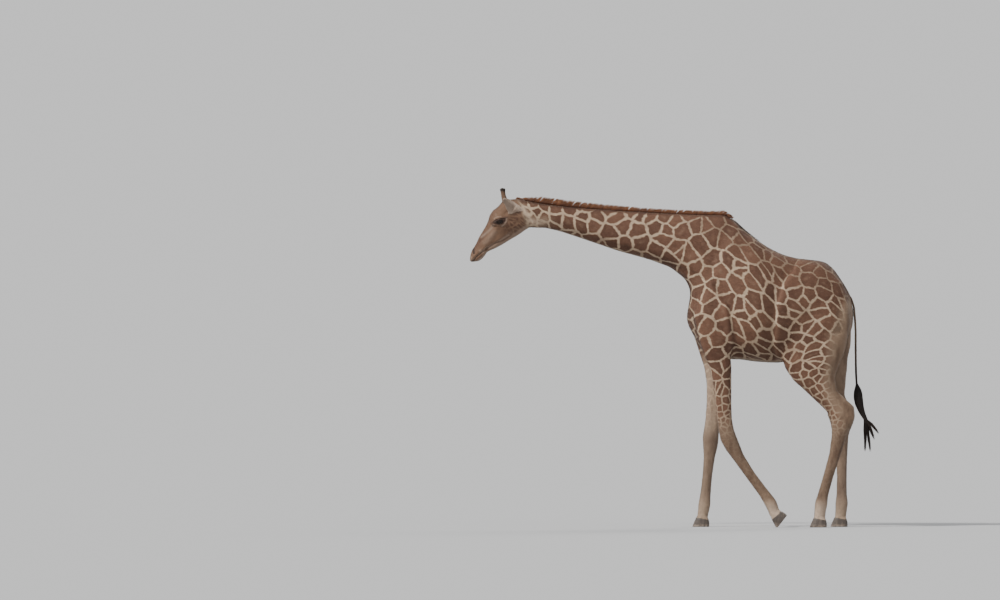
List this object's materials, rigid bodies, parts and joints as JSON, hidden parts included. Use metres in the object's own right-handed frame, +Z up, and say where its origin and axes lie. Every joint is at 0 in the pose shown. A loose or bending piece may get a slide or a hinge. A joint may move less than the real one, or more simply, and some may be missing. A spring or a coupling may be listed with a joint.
{
  "type": "giraffe",
  "caption": "Still, life-size giraffe cow in mid-walk, with its long neck held low and forward, a short stiff mane and a tufted tail.",
  "frame": {"origin": "on the floor, under the middle of the animal's bounding box", "axes": "+Z up; the head points along -X and the tail along +X; the animal's left side faces -Y"},
  "size_m": [3.5048, 0.6424, 2.902],
  "materials": {
    "coat": "short flat fur: reddish-brown patches on a pale buff net",
    "pale_coat": "short flat fur, pale buff to cream with faint mottles",
    "mane_hair": "stiff upright hair, orange-brown with dark tips",
    "black_hair": "long coarse black-brown hair",
    "hoof_horn": "dark grey-brown horn with fine growth rings, worn at the edge",
    "eye": "wet dark brown eyeball"
  },
  "bodies": {
    "root": {"head": "coat", "lower_jaw": "pale_coat", "left_eye": "eye", "right_eye": "eye", "left_ossicone": "coat", "right_ossicone": "coat", "left_ear": "pale_coat", "right_ear": "pale_coat", "neck_upper": "coat", "neck_middle": "coat", "neck_lower": "coat", "shoulders": "coat", "barrel": "coat", "hindquarters": "coat", "left_fore_forearm": "coat", "left_fore_shank": "pale_coat", "left_fore_pastern": "pale_coat", "left_fore_claw_outer": "hoof_horn", "left_fore_claw_inner": "hoof_horn", "right_fore_forearm": "coat", "right_fore_shank": "pale_coat", "right_fore_pastern": "pale_coat", "right_fore_claw_outer": "hoof_horn", "right_fore_claw_inner": "hoof_horn", "left_hind_thigh": "coat", "left_hind_shank": "pale_coat", "left_hind_pastern": "pale_coat", "left_hind_claw_outer": "hoof_horn", "left_hind_claw_inner": "hoof_horn", "right_hind_thigh": "coat", "right_hind_shank": "pale_coat", "right_hind_pastern": "pale_coat", "right_hind_claw_outer": "hoof_horn", "right_hind_claw_inner": "hoof_horn", "mane_upper": "mane_hair", "mane_middle": "mane_hair", "mane_lower": "mane_hair", "tail": "coat", "tail_tuft": "black_hair"}
  },
  "joints": []
}
